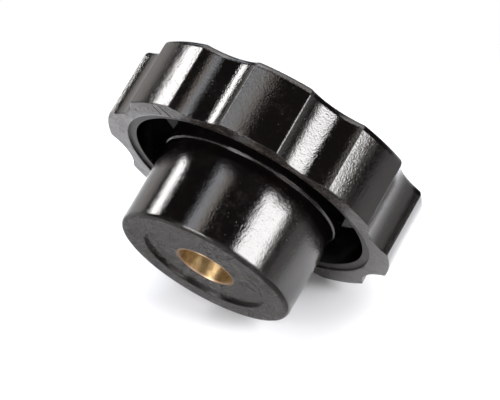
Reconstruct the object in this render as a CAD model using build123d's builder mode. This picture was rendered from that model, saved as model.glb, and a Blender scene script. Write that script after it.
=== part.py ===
"""Star knob: a moulded knob with a scalloped, hollow head and a brass insert in its hub.

Millimetres, +Z up. The origin is the middle of the hub's end face. The knob stands on that
face with its head on top, so the stud's hole opens downwards.
"""

import os
from math import radians, sin, tan

from build123d import *

os.makedirs("parts", exist_ok=True)

# Head: a disc with hollow flutes cut into it. The lobes left between them are as wide as the
# flutes and meet them in sharp creases.
LOBES = 8
HEAD_DIAMETER = 50.8
FLUTE_DIAMETER = 47.1       # across the floors of two opposite flutes
FLUTE_RADIUS = 9.7          # of one flute's curve
HEAD_HEIGHT = 12.3          # from the open rim to the top
HEAD_DRAFT = 0.4            # degrees, so that the head leaves its mould
TOP_EDGE_RADIUS = 1.1
TOP_EDGE_LAYERS = 4         # flats that make up the rounding

# Hub: the round boss in the middle, which stands out past the rim.
HUB_DIAMETER = 30.3
HUB_REACH = 14.4            # from the hub's end face to the rim
HUB_EDGE_RADIUS = 0.8
ROOT_STEP = 0.25            # the hub grows by this much, all round, inside the hollow
ROOT_STEP_DEPTH = 0.45      # from the rim to that step

# Hollow underside: a shallow step round the mouth, then the deep ring round the hub.
MOUTH_DIAMETER = 43.6
MOUTH_DEPTH = 0.4
HOLLOW_DIAMETER = 40.9
HOLLOW_DEPTH = 8.4          # from the rim to the hollow's floor
HOLLOW_CORNER_CHAMFER = 1.0

# Shallow round recess in the hub's end face.
RECESS_DIAMETER = 21.4
RECESS_DEPTH = 0.5
RECESS_EDGE_CHAMFER = 0.15

# Brass insert: a thin neck shows in the recess, and a knurled shank holds it in the moulding.
BORE_DIAMETER = 9.5
BORE_DEPTH = 15.0
BORE_TIP_ANGLE = 118.0      # degrees, the drill's point
BORE_CHAMFER = 0.15
NECK_WALL = 0.45
NECK_LENGTH = 2.2
SHANK_DIAMETER = 14.0
SHANK_END_CHAMFER = 0.6
SHANK_FLOOR = 1.6           # brass left under the bore's point
GROOVE_DIAMETER = 12.2
GROOVE_WIDTH = 2.4
KNURLS = 20
KNURL_DEPTH = 0.45
KNURL_WIDTH = 1.0           # at the shank's surface

# Places that follow from the sizes above.
LAYER_TURN = 90 / TOP_EDGE_LAYERS
HUB_RADIUS = HUB_DIAMETER / 2
ROOT_RADIUS = HUB_RADIUS + ROOT_STEP
HOLLOW_RADIUS = HOLLOW_DIAMETER / 2
BORE_RADIUS = BORE_DIAMETER / 2
NECK_RADIUS = BORE_RADIUS + NECK_WALL
SHANK_RADIUS = SHANK_DIAMETER / 2
GROOVE_RADIUS = GROOVE_DIAMETER / 2
POINT_DEPTH = BORE_RADIUS / tan(radians(BORE_TIP_ANGLE / 2))
MOUTH_Z = RECESS_DEPTH      # the insert's mouth lies flush in the recess
SHANK_Z = MOUTH_Z + NECK_LENGTH
SHANK_TOP_Z = MOUTH_Z + BORE_DEPTH + POINT_DEPTH + SHANK_FLOOR
GROOVE_Z = (SHANK_Z + SHANK_TOP_Z - GROOVE_WIDTH) / 2
HOLLOW_Z = HUB_REACH + HOLLOW_DEPTH


# The insert before it is bored. The moulding is cast round this same form.
with BuildPart() as insert_blank:
    with BuildSketch(Plane.XZ):
        with BuildLine():
            Polyline(
                (0, MOUTH_Z),
                (NECK_RADIUS, MOUTH_Z),
                (NECK_RADIUS, SHANK_Z),
                (SHANK_RADIUS, SHANK_Z),
                (SHANK_RADIUS, GROOVE_Z),
                (GROOVE_RADIUS, GROOVE_Z),
                (GROOVE_RADIUS, GROOVE_Z + GROOVE_WIDTH),
                (SHANK_RADIUS, GROOVE_Z + GROOVE_WIDTH),
                (SHANK_RADIUS, SHANK_TOP_Z - SHANK_END_CHAMFER),
                (SHANK_RADIUS - SHANK_END_CHAMFER, SHANK_TOP_Z),
                (0, SHANK_TOP_Z),
                close=True,
            )
        make_face()
    revolve(axis=Axis.Z)
    # Straight knurling: V-shaped grooves along the shank. Each V starts as far outside the
    # shank's surface as it ends inside, so at the surface it has half its full width.
    with BuildSketch(Plane.XY.offset(SHANK_Z)):
        with PolarLocations(SHANK_RADIUS, KNURLS):
            Polygon(
                (-KNURL_DEPTH, 0),
                (KNURL_DEPTH, -KNURL_WIDTH),
                (KNURL_DEPTH, KNURL_WIDTH),
                align=None,
            )
    extrude(amount=SHANK_TOP_Z - SHANK_Z, mode=Mode.SUBTRACT)

# The brass insert: the same form with a blind, drilled bore.
with BuildPart() as brass_insert:
    add(insert_blank.part)
    with BuildSketch(Plane.XZ):
        with BuildLine():
            Polyline(
                (0, MOUTH_Z),
                (BORE_RADIUS + BORE_CHAMFER, MOUTH_Z),
                (BORE_RADIUS, MOUTH_Z + BORE_CHAMFER),
                (BORE_RADIUS, MOUTH_Z + BORE_DEPTH),
                (0, MOUTH_Z + BORE_DEPTH + POINT_DEPTH),
                close=True,
            )
        make_face()
    revolve(axis=Axis.Z, mode=Mode.SUBTRACT)

# The moulding.
with BuildPart() as knob_body:
    # Head: a scalloped block that narrows a little towards its top. Thin layers, each narrowing
    # faster than the one below, round off its top edge with far fewer faces than a fillet.
    with BuildSketch(Plane.XY.offset(HUB_REACH)):
        Circle(HEAD_DIAMETER / 2)
        with PolarLocations(FLUTE_DIAMETER / 2 + FLUTE_RADIUS, LOBES, start_angle=180 / LOBES):
            Circle(FLUTE_RADIUS, mode=Mode.SUBTRACT)
    extrude(amount=HEAD_HEIGHT - TOP_EDGE_RADIUS, taper=HEAD_DRAFT)
    for layer in range(TOP_EDGE_LAYERS):
        slope = (layer + 0.5) * LAYER_TURN
        start, end = radians(layer * LAYER_TURN), radians((layer + 1) * LAYER_TURN)
        rise = TOP_EDGE_RADIUS * (sin(end) - sin(start))
        extrude(faces().sort_by(Axis.Z)[-1], amount=rise, taper=slope)

    # Hollow underside, with a bevelled corner at its floor.
    with BuildSketch(Plane.XZ):
        with BuildLine():
            Polyline(
                (0, HUB_REACH),
                (MOUTH_DIAMETER / 2, HUB_REACH),
                (MOUTH_DIAMETER / 2, HUB_REACH + MOUTH_DEPTH),
                (HOLLOW_RADIUS, HUB_REACH + MOUTH_DEPTH),
                (HOLLOW_RADIUS, HOLLOW_Z - HOLLOW_CORNER_CHAMFER),
                (HOLLOW_RADIUS - HOLLOW_CORNER_CHAMFER, HOLLOW_Z),
                (0, HOLLOW_Z),
                close=True,
            )
        make_face()
    revolve(axis=Axis.Z, mode=Mode.SUBTRACT)

    # Hub, a little thicker inside the hollow, with a bevelled root and a rounded end edge.
    with BuildSketch(Plane.XZ):
        with BuildLine():
            Polyline(
                (0, 0),
                (HUB_RADIUS, 0),
                (HUB_RADIUS, HUB_REACH + ROOT_STEP_DEPTH),
                (ROOT_RADIUS, HUB_REACH + ROOT_STEP_DEPTH + ROOT_STEP),
                (ROOT_RADIUS, HOLLOW_Z - HOLLOW_CORNER_CHAMFER),
                (ROOT_RADIUS + HOLLOW_CORNER_CHAMFER, HOLLOW_Z),
                (0, HOLLOW_Z),
                close=True,
            )
        make_face()
    revolve(axis=Axis.Z)
    hub_end = faces().filter_by(Axis.Z).sort_by(Axis.Z)[0]
    fillet(hub_end.edges(), radius=HUB_EDGE_RADIUS)

    # Recess in the hub's end, with a broken edge.
    with BuildSketch(Plane.XY):
        Circle(RECESS_DIAMETER / 2)
    extrude(amount=RECESS_DEPTH, mode=Mode.SUBTRACT)
    hub_ring = faces().filter_by(Axis.Z).sort_by(Axis.Z)[0]
    chamfer(hub_ring.edges().sort_by(SortBy.RADIUS)[0], length=RECESS_EDGE_CHAMFER)

    # The place that the insert fills.
    add(insert_blank.part, mode=Mode.SUBTRACT)

brass_insert.part.label = "brass_insert"
knob_body.part.label = "knob_body"

export_step(brass_insert.part, "parts/brass_insert.step")
export_step(knob_body.part, "parts/knob_body.step")
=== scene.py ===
"""Star knob: the finish of its black moulding and brass insert, and a plain pale studio."""

from math import atan2, cos, pi, radians, sin

import bpy
from mathutils import Matrix, Vector


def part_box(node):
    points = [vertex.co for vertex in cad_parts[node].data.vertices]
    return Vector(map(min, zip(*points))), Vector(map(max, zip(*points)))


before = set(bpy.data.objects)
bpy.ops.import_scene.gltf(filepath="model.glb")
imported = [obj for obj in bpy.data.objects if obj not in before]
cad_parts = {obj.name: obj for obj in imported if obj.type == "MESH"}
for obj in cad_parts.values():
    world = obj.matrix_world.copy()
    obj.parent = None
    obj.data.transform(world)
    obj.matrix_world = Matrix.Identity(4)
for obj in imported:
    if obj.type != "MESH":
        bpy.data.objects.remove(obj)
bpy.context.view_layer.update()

bl_info = {
    "name": "Star knob",
    "version": (1, 0, 0),
    "blender": (4, 5, 0),
    "location": "View3D > Sidebar > Star knob",
    "description": "Finishes a moulded star knob and builds a plain studio round it",
    "category": "Object",
}

# Height of the insert's mouth, read from the frame, in metres.
MOUTH_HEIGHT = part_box("brass_insert")[0][2]

# Sizes of the moulding that the frame's box doesn't give, in metres.
HUB_RADIUS = 0.01515
RIM_HEIGHT = 0.0144         # from the hub's end to the open rim
CREASE_RADIUS = 0.0254      # of the creases where lobes and flutes meet
CREASE_ANGLE = radians(22.5)    # between neighbouring creases


class MouldingSettings(bpy.types.PropertyGroup):
    """The black moulding's finish."""

    colour: bpy.props.FloatVectorProperty(
        name="Colour",
        description="Colour of the moulding compound",
        subtype="COLOR",
        default=(0.0024, 0.0019, 0.0018),
        min=0,
        max=1,
    )
    scuff_colour: bpy.props.FloatVectorProperty(
        name="Scuff colour",
        description="Colour of the dust and fine scuffs that dull the gloss",
        subtype="COLOR",
        default=(0.060, 0.050, 0.045),
        min=0,
        max=1,
    )
    roughness: bpy.props.FloatProperty(
        name="Roughness",
        description="Roughness of the clean, glossy skin",
        default=0.065,
        min=0,
        max=1,
    )
    end_roughness: bpy.props.FloatProperty(
        name="End roughness",
        description="Roughness that wear adds to the rim and to the hub's end",
        default=0.16,
        min=0,
        max=1,
    )
    edge_radius: bpy.props.FloatProperty(
        name="Edge radius",
        description="Rounding that the moulding's sharp edges seem to have",
        subtype="DISTANCE",
        default=0.0003,
        min=0,
    )
    ripple: bpy.props.FloatProperty(
        name="Ripple",
        description="Height of the skin's fine ripple",
        subtype="DISTANCE",
        default=0.000008,
        min=0,
    )


class BrassSettings(bpy.types.PropertyGroup):
    """The brass insert's finish."""

    colour: bpy.props.FloatVectorProperty(
        name="Colour",
        description="Colour of the turned brass",
        subtype="COLOR",
        default=(0.80, 0.58, 0.29),
        min=0,
        max=1,
    )
    lip_colour: bpy.props.FloatVectorProperty(
        name="Lip colour",
        description="Colour of the dulled ring round the mouth of the bore",
        subtype="COLOR",
        default=(0.85, 0.62, 0.42),
        min=0,
        max=1,
    )
    tarnish: bpy.props.FloatVectorProperty(
        name="Tarnish",
        description="Colour where the brass has dulled",
        subtype="COLOR",
        default=(0.48, 0.31, 0.16),
        min=0,
        max=1,
    )
    roughness: bpy.props.FloatProperty(
        name="Roughness",
        description="Roughness of the turned wall",
        default=0.5,
        min=0,
        max=1,
    )


class StudioSettings(bpy.types.PropertyGroup):
    """The floor, the lamps and the camera."""

    floor_colour: bpy.props.FloatVectorProperty(
        name="Floor colour",
        description="Colour of the floor",
        subtype="COLOR",
        default=(0.95, 0.94, 0.95),
        min=0,
        max=1,
    )
    lamp_level: bpy.props.FloatProperty(
        name="Lamp level",
        description="Share of the lamps' full brightness",
        default=1.0,
        min=0,
    )
    lens: bpy.props.FloatProperty(
        name="Lens",
        description="Focal length of the camera",
        default=298.4,
        min=1,
    )
    distance: bpy.props.FloatProperty(
        name="Distance",
        description="From the camera to the middle of the knob",
        subtype="DISTANCE",
        unit="LENGTH",
        default=0.6574,
        min=0.1,
    )
    azimuth: bpy.props.FloatProperty(
        name="Azimuth",
        description="Turn of the camera round the knob's axis, from the front",
        subtype="ANGLE",
        default=radians(9.53),
    )
    elevation: bpy.props.FloatProperty(
        name="Elevation",
        description="Height of the camera over the plane square to the knob's axis",
        subtype="ANGLE",
        default=radians(-17.36),
    )
    roll: bpy.props.FloatProperty(
        name="Roll",
        description="Turn of the camera about its own line of sight",
        subtype="ANGLE",
        default=radians(30.24),
    )


def direction(azimuth, elevation):
    """The unit vector at these angles in degrees, azimuth counted from +X."""
    turn, rise = radians(azimuth), radians(elevation)
    return Vector((cos(turn) * cos(rise), sin(turn) * cos(rise), sin(rise)))


# ---------------------------------------------------------------- node helpers


class NodeBuilder:
    """Adds and joins the nodes of one material, lamp or world."""

    def __init__(self, tree):
        self.tree = tree
        self.tree.nodes.clear()

    def add(self, kind, **settings):
        node = self.tree.nodes.new(kind)
        for name, value in settings.items():
            setattr(node, name, value)
        return node

    def link(self, source, target):
        self.tree.links.new(source, target)

    def feed(self, socket, value):
        """Joins an output to a socket, or sets the socket to a plain value."""
        if isinstance(value, bpy.types.NodeSocket):
            self.link(value, socket)
        else:
            socket.default_value = value

    def surface(self, shader, kind="ShaderNodeOutputMaterial"):
        """Ends the tree with this shader."""
        self.link(shader, self.add(kind).inputs["Surface"])

    def math(self, operation, first, second=0.0, clamp=False):
        node = self.add("ShaderNodeMath", operation=operation, use_clamp=clamp)
        self.feed(node.inputs[0], first)
        self.feed(node.inputs[1], second)
        return node.outputs[0]

    def scaled_sum(self, *terms, clamp=False):
        """The sum of some values, each times its own factor."""
        total = 0.0
        for value, factor in terms:
            total = self.math("ADD", total, self.math("MULTIPLY", value, factor), clamp=clamp)
        return total

    def vector_math(self, operation, first, second=None):
        node = self.add("ShaderNodeVectorMath", operation=operation)
        self.feed(node.inputs[0], first)
        if second is not None:
            self.feed(node.inputs[1], second)
        return node.outputs["Value"] if operation in {"LENGTH", "DOT_PRODUCT"} else node.outputs[0]

    def distance(self, position, point):
        """How far a position is from a fixed point."""
        return self.vector_math("LENGTH", self.vector_math("SUBTRACT", position, tuple(point)))

    def z_of(self, vector):
        node = self.add("ShaderNodeSeparateXYZ")
        self.link(vector, node.inputs[0])
        return node.outputs["Z"]

    def coordinate(self, name):
        return self.add("ShaderNodeTexCoord").outputs[name]

    def layers_passed(self):
        """How many clear layers the ray has passed on its way."""
        return self.add("ShaderNodeLightPath").outputs["Transparent Depth"]

    def ramp(self, value, low, high, start=0.0, end=1.0):
        """A smooth step from start to end as the value goes from low to high."""
        node = self.add("ShaderNodeMapRange", interpolation_type="SMOOTHSTEP")
        self.feed(node.inputs["Value"], value)
        node.inputs["From Min"].default_value = low
        node.inputs["From Max"].default_value = high
        node.inputs["To Min"].default_value = start
        node.inputs["To Max"].default_value = end
        return node.outputs["Result"]

    def noise(self, vector, scale, detail, roughness):
        node = self.add("ShaderNodeTexNoise")
        self.link(vector, node.inputs["Vector"])
        node.inputs["Scale"].default_value = scale
        node.inputs["Detail"].default_value = detail
        node.inputs["Roughness"].default_value = roughness
        return node.outputs["Fac"]

    def mottle(self, vector, pattern, start=0.0, end=1.0):
        """Noise of a scale, detail and roughness that goes from start to end between two levels."""
        scale, detail, roughness, low, high = pattern
        return self.ramp(self.noise(vector, scale, detail, roughness), low, high, start, end)

    def mix_colour(self, factor, first, second):
        node = self.add("ShaderNodeMix", data_type="RGBA")
        self.feed(node.inputs["Factor"], factor)
        self.feed(node.inputs[6], first)
        self.feed(node.inputs[7], second)
        return node.outputs[2]

    def mix_shaders(self, factor, first, second):
        node = self.add("ShaderNodeMixShader")
        self.link(factor, node.inputs[0])
        self.link(first, node.inputs[1])
        self.link(second, node.inputs[2])
        return node.outputs[0]

    def bump(self, height, distance, strength=1.0):
        node = self.add("ShaderNodeBump")
        node.inputs["Strength"].default_value = strength
        node.inputs["Distance"].default_value = distance
        self.link(height, node.inputs["Height"])
        return node

    def near_line(self, position, start, end, half_width):
        """1 on the straight mark between two points, fading to 0 at its half width."""
        start, end = Vector(start), Vector(end)
        along = end - start
        offset = self.vector_math("SUBTRACT", position, tuple(start))
        share = self.vector_math("DOT_PRODUCT", offset, tuple(along / along.length_squared))
        share = self.math("MINIMUM", self.math("MAXIMUM", share, 0.0), 1.0)
        scale = self.add("ShaderNodeVectorMath", operation="SCALE")
        scale.inputs[0].default_value = tuple(along)
        self.link(share, scale.inputs["Scale"])
        gap = self.vector_math("LENGTH", self.vector_math("SUBTRACT", offset, scale.outputs[0]))
        return self.ramp(gap, half_width * 0.4, half_width, 1.0, 0.0)


def new_material(name):
    material = bpy.data.materials.new(name)
    material.use_nodes = True
    return material, NodeBuilder(material.node_tree)


def dress(node_name, material):
    """Gives a CAD node this one material."""
    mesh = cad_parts[node_name].data
    mesh.materials.clear()
    mesh.materials.append(material)


# ---------------------------------------------------------------- the moulding

# Marks on the rim and the hub's end: where each starts and ends and its half width, in metres.
SCRATCHES = (
    ((-0.01684, -0.01790, RIM_HEIGHT), (-0.01545, -0.01618, RIM_HEIGHT), 0.00022),
    ((-0.01558, -0.01905, RIM_HEIGHT), (-0.01348, -0.01692, RIM_HEIGHT), 0.00034),
)
PITS = (
    ((-0.00685, -0.00755, 0.0), 0.00022),
    ((-0.00469, -0.00912, 0.0), 0.00018),
    ((-0.02114, 0.01236, RIM_HEIGHT), 0.00045),
)

# Noises of the moulding: scale, detail and roughness, and the levels between which each fades in.
PATCHES = (160, 5.0, 0.65, 0.40, 0.66)
SPECKS = (3200, 1.0, 0.5, 0.74, 0.80)
HAZE = (900, 4.0, 0.7, 0.45, 0.75)
SCUFFS = (420, 6.0, 0.75, 0.38, 0.64)
SCUFF_LEVELS = (0.5, 1.4)

# How much of the scuff colour each kind of wear lays over the black.
HAZE_COVER = 0.12
DUST_COVER = 0.9
SCUFF_COVER = 0.44

# The two noises of the ripple, how high each is and how deep the marks are, in ripples.
WAVE, WAVE_HEIGHT = (700, 2.0, 0.5), 2.0
GRAIN, GRAIN_HEIGHT = (3200, 2.0, 0.6), 3.5
MARK_DEPTH = 8.0
END_RIPPLE = 0.12       # share of the ripple that is left on the rim and the hub's end

MOULDING_IOR = 1.52
MOULDING_TINT = (1.0, 0.965, 0.94, 1)
PATCH_DULLING = 1.7     # roughness of a dulled patch, in clean ones
DUST_DULLING = 0.7
MARK_ROUGHNESS = 0.45
HOLLOW_ROUGHNESS = 0.6  # added on the hollow's floor
FACING_DOWN = (-0.98, -0.8)
RIM_FADE = (0.0002, 0.0006)     # how far inside the rim its finish ends, in metres


def wear_marks(nodes, position):
    """1 on each scratch and in each pit."""
    marks = 0.0
    for start, end, half_width in SCRATCHES:
        mark = nodes.near_line(position, start, end, half_width)
        marks = nodes.math("MAXIMUM", marks, mark)
    for centre, radius in PITS:
        pit = nodes.ramp(nodes.distance(position, centre), radius * 0.5, radius, 1.0, 0.0)
        marks = nodes.math("MAXIMUM", marks, pit)
    return marks


def rippled_normal(nodes, position, ends, marks, settings):
    """Sharp edges seem rounded, and the skin has a fine ripple and dents at its marks."""
    wave = nodes.noise(position, *WAVE)
    grain = nodes.noise(position, *GRAIN)
    height = nodes.scaled_sum((wave, WAVE_HEIGHT), (grain, GRAIN_HEIGHT))
    height = nodes.math("MULTIPLY", height, nodes.ramp(ends, 0.0, 1.0, 1.0, END_RIPPLE))
    height = nodes.math("SUBTRACT", height, nodes.math("MULTIPLY", marks, MARK_DEPTH))
    bump = nodes.bump(height, settings.ripple)
    rounded = nodes.add("ShaderNodeBevel", samples=6)
    rounded.inputs["Radius"].default_value = settings.edge_radius
    nodes.link(rounded.outputs[0], bump.inputs["Normal"])
    return bump.outputs[0]


def moulding_material(settings):
    """Glossy black moulding: a fine ripple, dulled patches, dust, scratches and pits."""
    material, nodes = new_material("moulded black")
    position = nodes.coordinate("Object")
    shader = nodes.add("ShaderNodeBsdfPrincipled")
    shader.inputs["IOR"].default_value = MOULDING_IOR
    shader.inputs["Specular Tint"].default_value = MOULDING_TINT
    nodes.surface(shader.outputs[0])
    marks = wear_marks(nodes, position)

    # The rim and the hub's end are scuffed and less glossy, and the hollow's floor is matt.
    facing_down = nodes.ramp(nodes.z_of(nodes.coordinate("Normal")), *FACING_DOWN, 1.0, 0.0)
    fade_start, fade_end = (RIM_HEIGHT + depth for depth in RIM_FADE)
    outside = nodes.ramp(nodes.z_of(position), fade_start, fade_end, 1.0, 0.0)
    ends = nodes.math("MULTIPLY", facing_down, outside)
    hollow_floor = nodes.math("SUBTRACT", facing_down, ends)
    scuffs = nodes.math("MULTIPLY", ends, nodes.mottle(position, SCUFFS, *SCUFF_LEVELS))

    patches = nodes.mottle(position, PATCHES)
    specks = nodes.mottle(position, SPECKS)
    dust = nodes.math("MULTIPLY", nodes.math("ADD", patches, 0.2), specks, clamp=True)
    haze = nodes.math("MULTIPLY", nodes.mottle(position, HAZE), patches)
    cover = nodes.scaled_sum(
        (haze, HAZE_COVER), (dust, DUST_COVER), (scuffs, SCUFF_COVER), clamp=True
    )
    colour = nodes.mix_colour(cover, (*settings.colour, 1), (*settings.scuff_colour, 1))
    nodes.link(colour, shader.inputs["Base Color"])

    clean, dull = settings.roughness, settings.roughness * PATCH_DULLING
    dulled = nodes.math("MAXIMUM", nodes.math("MULTIPLY", dust, DUST_DULLING), marks)
    roughness = nodes.scaled_sum(
        (nodes.ramp(patches, 0, 1, clean, dull), 1.0),
        (scuffs, settings.end_roughness),
        (hollow_floor, HOLLOW_ROUGHNESS),
        (dulled, MARK_ROUGHNESS),
        clamp=True,
    )
    nodes.link(roughness, shader.inputs["Roughness"])
    normal = rippled_normal(nodes, position, ends, marks, settings)
    nodes.link(normal, shader.inputs["Normal"])
    return material


class STARKNOB_OT_moulding(bpy.types.Operator):
    """Finish the black moulding"""

    bl_idname = "starknob.moulding"
    bl_label = "Moulding"

    def execute(self, context):
        dress("knob_body", moulding_material(context.scene.starknob_moulding))
        return {"FINISHED"}


# ---------------------------------------------------------------- the insert

TARNISH = (700, 5.0, 0.7, 0.36, 0.72)   # a noise, as the moulding's are
TARNISH_DULLING = 1.6
LIP_DEPTH = 0.0002      # of the dulled ring at the mouth of the bore, in metres
LIP_FADE = 0.2          # share of that depth over which it ends

# Turned rings: how far the noise is stretched across them, and its scale, detail and roughness.
RING_STRETCH = (0.05, 0.05, 1.0)
RINGS = (5200, 2.0, 0.6)
RING_HEIGHT = 0.00001
RING_STRENGTH = 0.6


def brass_material(settings):
    """Turned brass: fine rings round the bore, and dulled patches."""
    material, nodes = new_material("turned brass")
    position = nodes.coordinate("Object")
    shader = nodes.add("ShaderNodeBsdfPrincipled")
    shader.inputs["Metallic"].default_value = 1.0
    shader.inputs["Anisotropic"].default_value = 1.0
    shader.inputs["Anisotropic Rotation"].default_value = 0.25
    nodes.surface(shader.outputs[0])
    around = nodes.add("ShaderNodeTangent", direction_type="RADIAL", axis="Z")
    nodes.link(around.outputs[0], shader.inputs["Tangent"])

    patches = nodes.mottle(position, TARNISH)
    colour = nodes.mix_colour(patches, (*settings.colour, 1), (*settings.tarnish, 1))
    lip_end = MOUTH_HEIGHT + LIP_DEPTH
    lip = nodes.ramp(nodes.z_of(position), lip_end - LIP_DEPTH * LIP_FADE, lip_end, 1.0, 0.0)
    colour = nodes.mix_colour(lip, colour, (*settings.lip_colour, 1))
    nodes.link(colour, shader.inputs["Base Color"])
    clean, dull = settings.roughness, settings.roughness * TARNISH_DULLING
    nodes.link(nodes.ramp(patches, 0, 1, clean, dull), shader.inputs["Roughness"])

    stretched = nodes.add("ShaderNodeMapping")
    stretched.inputs["Scale"].default_value = RING_STRETCH
    nodes.link(position, stretched.inputs["Vector"])
    rings = nodes.noise(stretched.outputs[0], *RINGS)
    bump = nodes.bump(rings, RING_HEIGHT, RING_STRENGTH)
    nodes.link(bump.outputs[0], shader.inputs["Normal"])
    return material


class STARKNOB_OT_insert(bpy.types.Operator):
    """Finish the brass insert"""

    bl_idname = "starknob.insert"
    bl_label = "Insert"

    def execute(self, context):
        dress("brass_insert", brass_material(context.scene.starknob_brass))
        return {"FINISHED"}


# ---------------------------------------------------------------- the studio

# Lamps: azimuth and elevation in degrees as seen from the knob, width and height in degrees,
# radiance at full brightness, colour, and the share of it in views from above.
LAMPS = {
    "left strip": (184.5, 14.0, 10.0, 18.0, 24.0, (1.0, 1.0, 1.0), 0.1),
    "left glow": (181.0, 12.0, 17.0, 24.0, 0.3, (1.0, 0.98, 0.96), 0.5),
    "left card": (153.0, 14.0, 24.0, 30.0, 1.2, (1.0, 0.96, 0.93), 0.4),
    "right strip": (-43.5, 14.0, 34.0, 18.0, 23.0, (0.96, 0.98, 1.0), 0.08),
    "right glow": (-22.0, 14.0, 8.0, 18.0, 1.6, (1.0, 0.97, 0.95), 0.5),
    "right floor strip": (-45.0, -12.0, 34.0, 20.0, 6.0, (1.0, 0.97, 0.95), 0.2),
    "top strip": (-120.0, -2.0, 11.0, 56.0, 5.0, (0.86, 0.92, 1.0), 0.3),
    "top glow": (-110.5, 10.0, 8.0, 30.0, 3.4, (1.0, 0.95, 0.91), 0.5),
    "low strip": (-118.0, -38.0, 26.0, 34.0, 9.0, (1.0, 1.0, 1.0), 0.2),
    "high left": (-160.0, 50.0, 70.0, 26.0, 3.4, (0.85, 0.92, 1.0), 1.0),
    "edge card": (-104.0, 47.0, 60.0, 16.0, 4.0, (1.0, 0.98, 0.97), 1.0),
    "soft key": (-125.0, 70.0, 56.0, 42.0, 2.2, (1.0, 0.98, 0.97), 1.25),
    "front fill": (-100.0, -34.0, 60.0, 40.0, 0.5, (1.0, 0.98, 0.96), 1.0),
}
LAMP_DISTANCE = 0.8

# Two floors: the bench, level and seen from above only, and the slope, seen from below only. A
# ray from below passes the bench's clear layers, and their number tells the two apart. A ray
# from above may cross the clear part of the slope, which counts as one layer.
BENCH_LAYERS = 2
FROM_BELOW = BENCH_LAYERS - 0.5     # a ray that has passed more layers comes from below
LAYER_GAP = 0.00001
BENCH_SPAN = 40.0
SLOPE_SPAN = 1.6
LEAN_AZIMUTH = 67.5     # degrees, the side that the slope is on

# Distances over which each floor turns into an even white, in metres.
BENCH_FADE = (0.10, 0.45)
SLOPE_FADE = (0.035, 0.085)

# The room: its own colour, that of the band at its horizon, and the heights where the band ends.
ROOM_COLOUR = (0.012, 0.012, 0.013, 1)
BAND_COLOUR = (0.95, 0.95, 0.95, 1)
BAND_HEIGHTS = (0.03, 0.07)
WHITE = (1, 1, 1, 1)

CAMERA_AIM = Vector((0.0008, 0.0, 0.01375))     # near the knob's middle
SENSOR_WIDTH = 36       # millimetres


def pale_surface(nodes, colour, centre, fade):
    """A matt pale surface that turns into an even white far from its centre."""
    position = nodes.coordinate("Object")
    matt = nodes.add("ShaderNodeBsdfDiffuse")
    matt.inputs["Color"].default_value = (*colour, 1)
    white = nodes.add("ShaderNodeEmission")
    white.inputs["Color"].default_value = WHITE
    white.inputs["Strength"].default_value = 1.0
    share = nodes.ramp(nodes.distance(position, centre), *fade)
    return nodes.mix_shaders(share, matt.outputs[0], white.outputs[0])


def show_where(nodes, shown, surface):
    """Shows the surface where shown is 1, and lets light through where it is 0."""
    clear = nodes.add("ShaderNodeBsdfTransparent")
    nodes.surface(nodes.mix_shaders(shown, clear.outputs[0], surface))


def bench_material(colour):
    """The level floor, solid from above and clear from below."""
    material, nodes = new_material("bench")
    surface = pale_surface(nodes, colour, (0, 0, 0), BENCH_FADE)
    backfacing = nodes.add("ShaderNodeNewGeometry").outputs["Backfacing"]
    front = nodes.math("SUBTRACT", 1.0, backfacing)
    from_above = nodes.math("LESS_THAN", nodes.layers_passed(), FROM_BELOW)
    show_where(nodes, nodes.math("MULTIPLY", front, from_above), surface)
    return material


def slope_material(colour, centre):
    """The floor that the knob leans on, solid below the bench and clear over it from above."""
    material, nodes = new_material("slope")
    surface = pale_surface(nodes, colour, centre, SLOPE_FADE)
    under = nodes.math("LESS_THAN", nodes.z_of(nodes.coordinate("Object")), 0.0)
    from_below = nodes.math("GREATER_THAN", nodes.layers_passed(), FROM_BELOW)
    show_where(nodes, nodes.math("MAXIMUM", under, from_below), surface)
    return material


def clear_material():
    """Clear layers that are there only to be counted."""
    material, nodes = new_material("clear")
    nodes.surface(nodes.add("ShaderNodeBsdfTransparent").outputs[0])
    return material


def add_floor(name, centre, normal, span, material):
    """One flat square of floor, with its place in its mesh."""
    bpy.ops.object.select_all(action="DESELECT")
    turn = Vector(normal).to_track_quat("Z", "Y").to_euler()
    bpy.ops.mesh.primitive_plane_add(size=span, location=centre, rotation=turn)
    floor = bpy.context.object
    floor.name = name
    bpy.ops.object.transform_apply(location=True, rotation=True, scale=True)
    floor.data.materials.append(material)


def add_bench(colour):
    """The level floor, as thin layers just under the hub's end."""
    material = bench_material(colour)
    for layer in range(BENCH_LAYERS):
        height = -LAYER_GAP * (layer + 1)
        add_floor(f"bench_{layer}", (0, 0, height), (0, 0, 1), BENCH_SPAN, material)


def add_slope(colour):
    """The floor on which the knob leans with its hub's end and two creases of its rim."""
    crease_reach = CREASE_RADIUS * cos(CREASE_ANGLE / 2)
    lean = atan2(crease_reach - HUB_RADIUS, RIM_HEIGHT)
    outward = direction(LEAN_AZIMUTH, 0)
    normal = -outward * cos(lean) + Vector((0, 0, sin(lean)))
    contact = outward * crease_reach + Vector((0, 0, RIM_HEIGHT))
    add_floor("slope", contact, normal, SLOPE_SPAN, slope_material(colour, contact))

    # Below the bench the slope is seen through clear layers, as many as the bench has.
    uphill = outward * sin(lean) + Vector((0, 0, cos(lean)))
    middle = outward * HUB_RADIUS - uphill * (SLOPE_SPAN / 2 + 4 * LAYER_GAP)
    material = clear_material()
    for layer in range(BENCH_LAYERS):
        raised = middle + normal * LAYER_GAP * (layer + 1)
        add_floor(f"clear_{layer}", raised, normal, SLOPE_SPAN, material)


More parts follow.
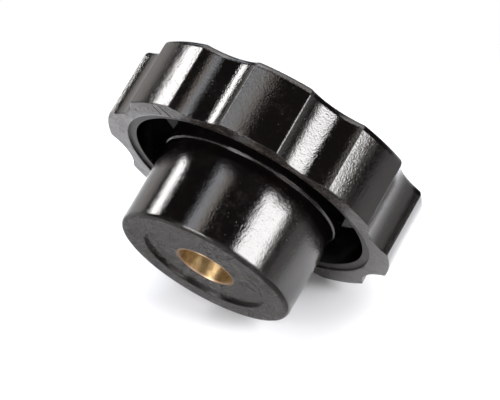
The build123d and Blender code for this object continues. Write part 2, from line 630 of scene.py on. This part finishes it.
def add_lamp(name, place, level):
    """A flat rectangular lamp that faces the knob."""
    azimuth, elevation, width, height, radiance, colour, share_above = place
    data = bpy.data.lights.new(name, "AREA")
    data.shape = "RECTANGLE"
    data.size = 2 * LAMP_DISTANCE * sin(radians(width / 2))
    data.size_y = 2 * LAMP_DISTANCE * sin(radians(height / 2))
    data.energy = radiance * level * pi * data.size * data.size_y
    data.color = colour
    data.use_nodes = True
    nodes = NodeBuilder(data.node_tree)
    emission = nodes.add("ShaderNodeEmission")
    share = nodes.ramp(nodes.layers_passed(), BENCH_LAYERS - 1, BENCH_LAYERS, share_above, 1.0)
    nodes.link(share, emission.inputs["Strength"])
    nodes.surface(emission.outputs[0], "ShaderNodeOutputLight")

    lamp = bpy.data.objects.new(name, data)
    bpy.context.scene.collection.objects.link(lamp)
    towards = direction(azimuth, elevation)
    lamp.location = Vector((0, 0, RIM_HEIGHT)) + LAMP_DISTANCE * towards
    lamp.rotation_euler = towards.to_track_quat("Z", "Y").to_euler()
    lamp.visible_camera = False


def studio_world():
    """A dark room with a pale band at the horizon, white where the camera sees it."""
    world = bpy.data.worlds.new("room")
    bpy.context.scene.world = world
    world.use_nodes = True
    nodes = NodeBuilder(world.node_tree)
    height = nodes.math("ABSOLUTE", nodes.z_of(nodes.coordinate("Generated")))
    colour = nodes.mix_colour(nodes.ramp(height, *BAND_HEIGHTS), BAND_COLOUR, ROOM_COLOUR)
    camera = nodes.add("ShaderNodeLightPath").outputs["Is Camera Ray"]
    colour = nodes.mix_colour(camera, colour, WHITE)
    background = nodes.add("ShaderNodeBackground")
    nodes.link(colour, background.inputs["Color"])
    nodes.surface(background.outputs[0], "ShaderNodeOutputWorld")


def add_camera(settings):
    """The camera, turned about its own line of sight so that the knob seems to lie down."""
    data = bpy.data.cameras.new("camera")
    data.sensor_width = SENSOR_WIDTH
    data.lens = settings.lens
    data.clip_start = 0.01
    data.clip_end = 100
    camera = bpy.data.objects.new("camera", data)
    bpy.context.scene.collection.objects.link(camera)
    bpy.context.scene.camera = camera
    towards = Vector(
        (
            sin(settings.azimuth) * cos(settings.elevation),
            -cos(settings.azimuth) * cos(settings.elevation),
            sin(settings.elevation),
        )
    )
    level = towards.to_track_quat("Z", "Y").to_matrix()
    camera.location = CAMERA_AIM + settings.distance * towards
    camera.rotation_euler = (level @ Matrix.Rotation(settings.roll, 3, "Z")).to_euler()


class STARKNOB_OT_studio(bpy.types.Operator):
    """Build the floors, the lamps and the camera"""

    bl_idname = "starknob.studio"
    bl_label = "Studio"

    def execute(self, context):
        settings = context.scene.starknob_studio
        add_bench(settings.floor_colour)
        add_slope(settings.floor_colour)
        for name, place in LAMPS.items():
            add_lamp(name, place, settings.lamp_level)
        studio_world()
        add_camera(settings)
        context.scene.view_settings.view_transform = "Standard"
        return {"FINISHED"}


class STARKNOB_PT_panel(bpy.types.Panel):
    """The knob's operators"""

    bl_label = "Star knob"
    bl_idname = "STARKNOB_PT_panel"
    bl_space_type = "VIEW_3D"
    bl_region_type = "UI"
    bl_category = "Star knob"

    def draw(self, context):
        for operator in OPERATORS:
            self.layout.operator(operator.bl_idname)


OPERATORS = (STARKNOB_OT_moulding, STARKNOB_OT_insert, STARKNOB_OT_studio)
SETTINGS = {
    "starknob_moulding": MouldingSettings,
    "starknob_brass": BrassSettings,
    "starknob_studio": StudioSettings,
}


def register():
    for group in SETTINGS.values():
        bpy.utils.register_class(group)
    for name, group in SETTINGS.items():
        setattr(bpy.types.Scene, name, bpy.props.PointerProperty(type=group))
    for operator in OPERATORS:
        bpy.utils.register_class(operator)
    bpy.utils.register_class(STARKNOB_PT_panel)


def unregister():
    bpy.utils.unregister_class(STARKNOB_PT_panel)
    for operator in reversed(OPERATORS):
        bpy.utils.unregister_class(operator)
    for name in SETTINGS:
        delattr(bpy.types.Scene, name)
    for group in reversed(SETTINGS.values()):
        bpy.utils.unregister_class(group)


def main():
    register()
    bpy.ops.starknob.moulding()
    bpy.ops.starknob.insert()
    bpy.ops.starknob.studio()


if __name__ == "__main__":
    main()
